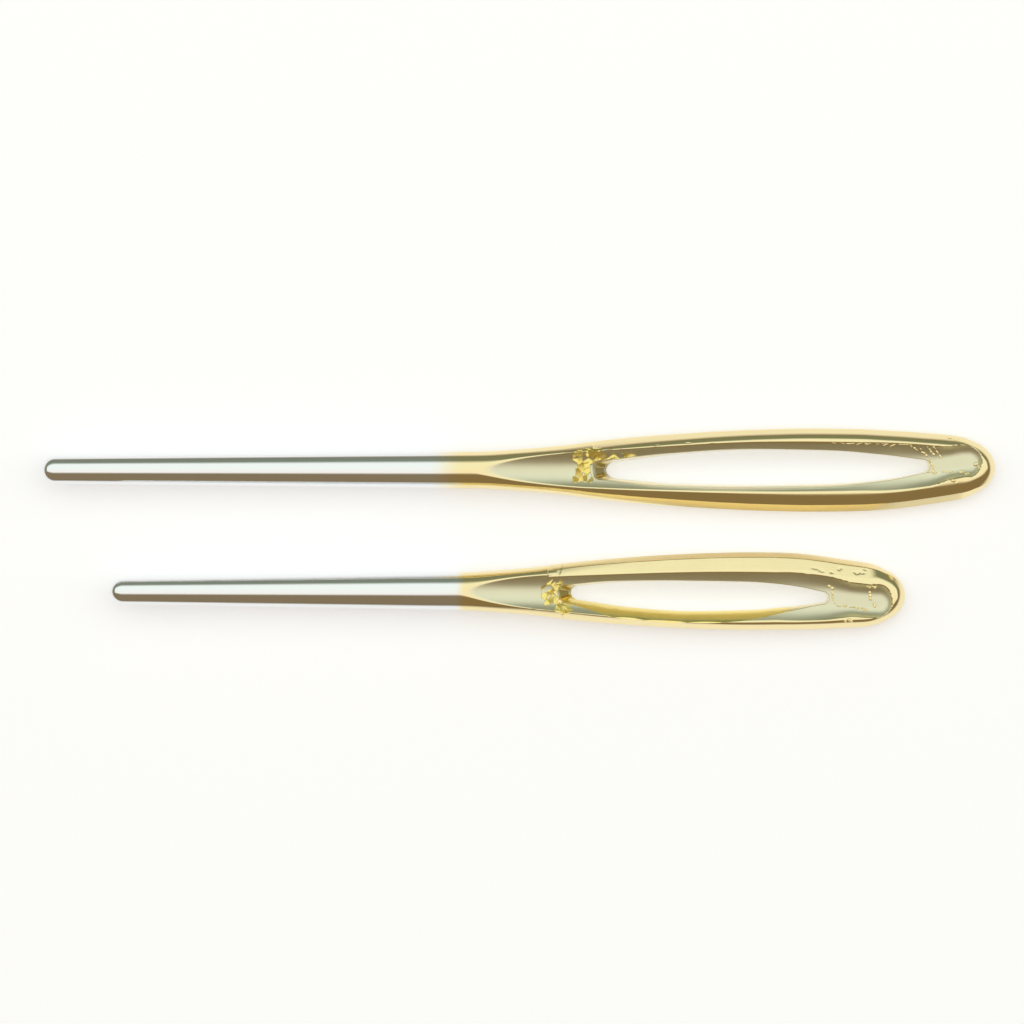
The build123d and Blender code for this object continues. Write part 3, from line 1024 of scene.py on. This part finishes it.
def make_burrs(context, tree, body, sizes, strokes):
    """Grains of torn metal on one needle, riding on its body."""
    form = NeedleForm(body, sizes, context.scene.stamp_sizes)
    mesh = burr_points(f"{body}_burr_points", form, strokes)
    points = bpy.data.objects.new(mesh.name, mesh)
    context.scene.collection.objects.link(points)
    modifier = points.modifiers.new("Burrs", "NODES")
    modifier.node_group = tree
    for item in tree.interface.items_tree:
        if item.in_out == "INPUT" and item.name == "Material":
            modifier[item.identifier] = bpy.data.materials[f"{body} plating"]
    shape = bpy.data.meshes.new_from_object(points.evaluated_get(context.evaluated_depsgraph_get()))
    burrs = bpy.data.objects.new(f"{body}_burrs", shape)
    bpy.data.objects.remove(points)
    bpy.data.meshes.remove(mesh)
    context.scene.collection.objects.link(burrs)
    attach(burrs, body)


class NEEDLE_OT_long_needle(bpy.types.Operator):
    """Make the long needle: its steel and its gold plate"""

    bl_idname = "needle.make_long"
    bl_label = "Long Needle"

    def execute(self, context):
        sizes = context.scene.long_needle_sizes
        tears = (LONG_TEARS, LONG_TEAR_SEED)
        make_needle(context, "long_needle", sizes, tears, scattered_pits(*LONG_PITS), [])
        return {"FINISHED"}


class NEEDLE_OT_short_needle(bpy.types.Operator):
    """Make the short needle: its steel and its gold plate"""

    bl_idname = "needle.make_short"
    bl_label = "Short Needle"

    def execute(self, context):
        sizes = context.scene.short_needle_sizes
        tears = (SHORT_TEARS, SHORT_TEAR_SEED)
        pits = scattered_pits(*SHORT_PITS) + [tuple(value * MM for value in SHORT_DENT)]
        make_needle(context, "short_needle", sizes, tears, pits, [SHORT_PAINTED_REFLECTION_WALL])
        return {"FINISHED"}


class NEEDLE_OT_burrs(bpy.types.Operator):
    """Make the grains of metal that the punch left on both needles"""

    bl_idname = "needle.make_burrs"
    bl_label = "Punch Burrs"

    def execute(self, context):
        tree = burr_tree()
        make_burrs(context, tree, "long_needle", context.scene.long_needle_sizes, LONG_STROKES)
        make_burrs(context, tree, "short_needle", context.scene.short_needle_sizes, SHORT_STROKES)
        return {"FINISHED"}


class NEEDLE_OT_stage(bpy.types.Operator):
    """Make the floor, the camera and the studio light"""

    bl_idname = "needle.make_stage"
    bl_label = "Stage"

    def execute(self, context):
        stage = context.scene.needle_stage
        low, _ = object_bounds()
        make_floor(stage, low.z)
        make_room(context, stage)
        make_lights(stage)
        make_camera(context, stage)
        return {"FINISHED"}


# Stage

# Framing of the photograph: its width, the size of a pixel, and the pixels of X zero and of the long axis
PHOTO_WIDTH = 1024
PHOTO_SCALE = 0.07341 * MM
PHOTO_ZERO_X = 518.75
PHOTO_LONG_AXIS = 470.0
CLIP_START, CLIP_END = 0.001, 10.0
FLOOR_HALF_SIDE = 2.0
FLOOR_ROUGHNESS = 0.9
# Facing values between which the floor that metal mirrors fades from the dim room to its own colour
MIRRORED_ROOM, MIRRORED_FLOOR = 0.97, 0.7
WHITE = (1, 1, 1)
# Directions to the near and to the far side between which the dim room changes colour
ROOM_SOUTH, ROOM_NORTH = -0.3, 0.3
# Layers of the softbox: share of its light, and degrees from upright to its near and its far edge
SOFTBOX_LAYERS = [(0.3, 19, 46), (0.4, 23, 52), (0.3, 27, 58)]
SOFTBOX_END_DEGREES = 72
# Each layer is a little higher than the last, so that their light adds up in the metal's reflections
LAYER_GAP = 1 * MM
LAMP_COLOUR = (0.97, 1.0, 1.0)


def make_floor(stage, height):
    """Pale floor, clear from below, which fades to the dim room far off in the metal's reflections."""
    side = FLOOR_HALF_SIDE
    mesh = bpy.data.meshes.new("floor")
    corners = [(x * side, y * side, height) for x, y in ((-1, -1), (1, -1), (1, 1), (-1, 1))]
    mesh.from_pydata(corners, [], [(0, 1, 2, 3)])
    floor = bpy.data.objects.new("floor", mesh)
    bpy.context.scene.collection.objects.link(floor)
    material = bpy.data.materials.new("floor")
    material.use_nodes = True
    tree = material.node_tree
    shader = tree.nodes["Principled BSDF"]
    shader.inputs["Roughness"].default_value = FLOOR_ROUGHNESS
    path = node(tree, "ShaderNodeLightPath", -1200, 0)
    viewed, mirrored = path.outputs["Is Camera Ray"], path.outputs["Is Glossy Ray"]
    facing = node(tree, "ShaderNodeLayerWeight", -1200, -300, Blend=0.5).outputs["Facing"]
    near = node(tree, "ShaderNodeMapRange", -1000, -300, From_Min=MIRRORED_ROOM, From_Max=MIRRORED_FLOOR)
    feed(tree, near.inputs["Value"], facing)
    direct = math_node(tree, "SUBTRACT", -1000, 0, 1.0, mirrored)
    share = math_node(tree, "MAXIMUM", -800, -100, near.outputs[0], direct)
    colour = mix_colour(tree, -600, -300, share, stage.room_south, stage.floor)
    feed(tree, shader.inputs["Base Color"], colour)
    seen = math_node(tree, "MAXIMUM", -800, 100, viewed, mirrored)
    glow = math_node(tree, "MULTIPLY", -400, 100, seen, stage.floor_glow)
    glow = math_node(tree, "MULTIPLY", -200, 100, glow, share)
    feed(tree, shader.inputs["Emission Strength"], glow)
    feed(tree, shader.inputs["Emission Color"], (*WHITE, 1))
    below = node(tree, "ShaderNodeNewGeometry", -600, 400).outputs["Backfacing"]
    feed(tree, shader.inputs["Alpha"], math_node(tree, "SUBTRACT", -400, 400, 1.0, below))
    mesh.materials.append(material)
    floor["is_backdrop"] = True


def make_room(context, stage):
    """Dim room round the softbox, white where the camera looks past the floor."""
    world = bpy.data.worlds.new("room")
    context.scene.world = world
    world.use_nodes = True
    tree = world.node_tree
    way = node(tree, "ShaderNodeTexCoord", -1000, 0).outputs["Generated"]
    split = node(tree, "ShaderNodeSeparateXYZ", -800, 0, Vector=way)
    ramp = node(tree, "ShaderNodeMapRange", -600, 0, From_Min=ROOM_SOUTH, From_Max=ROOM_NORTH)
    feed(tree, ramp.inputs["Value"], split.outputs[1])
    dim = mix_colour(tree, -400, 0, ramp.outputs[0], stage.room_south, stage.room_north)
    viewed = node(tree, "ShaderNodeLightPath", -600, 300).outputs["Is Camera Ray"]
    feed(tree, tree.nodes["Background"].inputs[0], mix_colour(tree, -200, 0, viewed, dim, WHITE))


def make_lights(stage):
    """Softbox overhead in layers that fade its two long edges, as the photograph is lit."""
    for layer, (share, south, north) in enumerate(SOFTBOX_LAYERS):
        height = stage.lamp_height + layer * LAYER_GAP
        low, high = height * math.tan(math.radians(-south)), height * math.tan(math.radians(north))
        lamp = bpy.data.lights.new("softbox", "AREA")
        lamp.shape = "RECTANGLE"
        lamp.size = 2 * height * math.tan(math.radians(SOFTBOX_END_DEGREES))
        lamp.size_y = high - low
        lamp.energy = share * stage.lamp_level * math.pi * lamp.size * lamp.size_y
        lamp.color = LAMP_COLOUR
        softbox = bpy.data.objects.new("softbox", lamp)
        softbox.location = (0, (low + high) / 2, height)
        bpy.context.scene.collection.objects.link(softbox)


def make_camera(context, stage):
    """Camera straight above, framed as the photograph is."""
    low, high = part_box("long_needle_blank")
    middle = PHOTO_WIDTH / 2
    x = (middle - PHOTO_ZERO_X) * PHOTO_SCALE
    y = (low.y + high.y) / 2 + (PHOTO_LONG_AXIS - middle) * PHOTO_SCALE
    lens = bpy.data.cameras.new("camera")
    lens.lens = lens.sensor_width * stage.camera_height / (PHOTO_WIDTH * PHOTO_SCALE)
    lens.clip_start, lens.clip_end = CLIP_START, CLIP_END
    camera = bpy.data.objects.new("camera", lens)
    camera.location = (x, y, stage.camera_height + high.z / 2)
    context.scene.collection.objects.link(camera)
    context.scene.camera = camera


# Panel and registration

class NEEDLE_PT_panel(bpy.types.Panel):
    """Sidebar panel that lists the steps and their settings"""

    bl_label = "Yarn Needles"
    bl_space_type = "VIEW_3D"
    bl_region_type = "UI"
    bl_category = "Needles"

    def draw(self, context):
        for step in STEPS:
            self.layout.operator(step.bl_idname)
        for group in SETTINGS:
            box = self.layout.box()
            box.label(text=group.replace("_", " ").capitalize())
            settings = getattr(context.scene, group)
            for field in settings.__annotations__:
                box.prop(settings, field)


STEPS = (NEEDLE_OT_long_needle, NEEDLE_OT_short_needle, NEEDLE_OT_burrs, NEEDLE_OT_stage)
SETTINGS = {
    "long_needle_sizes": LongNeedleSizes,
    "short_needle_sizes": ShortNeedleSizes,
    "stamp_sizes": StampSizes,
    "needle_finish": FinishSettings,
    "needle_stage": StageSettings,
}


def register():
    """Adds the settings, the steps and the panel."""
    for group, kind in SETTINGS.items():
        bpy.utils.register_class(kind)
        setattr(bpy.types.Scene, group, bpy.props.PointerProperty(type=kind))
    for kind in (*STEPS, NEEDLE_PT_panel):
        bpy.utils.register_class(kind)


def unregister():
    """Takes the panel, the steps and the settings away."""
    for kind in (NEEDLE_PT_panel, *reversed(STEPS)):
        bpy.utils.unregister_class(kind)
    for group, kind in SETTINGS.items():
        delattr(bpy.types.Scene, group)
        bpy.utils.unregister_class(kind)


def corners(bounds):
    """Lowest and highest corner as plain lists of numbers."""
    return [[float(value) for value in corner] for corner in bounds]


def main():
    """Makes every piece in order."""
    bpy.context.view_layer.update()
    register()
    bpy.context.scene.view_settings.view_transform = "Standard"
    bpy.ops.needle.make_long()
    bpy.ops.needle.make_short()
    bpy.ops.needle.make_burrs()
    bpy.ops.needle.make_stage()


if __name__ == "__main__":
    main()
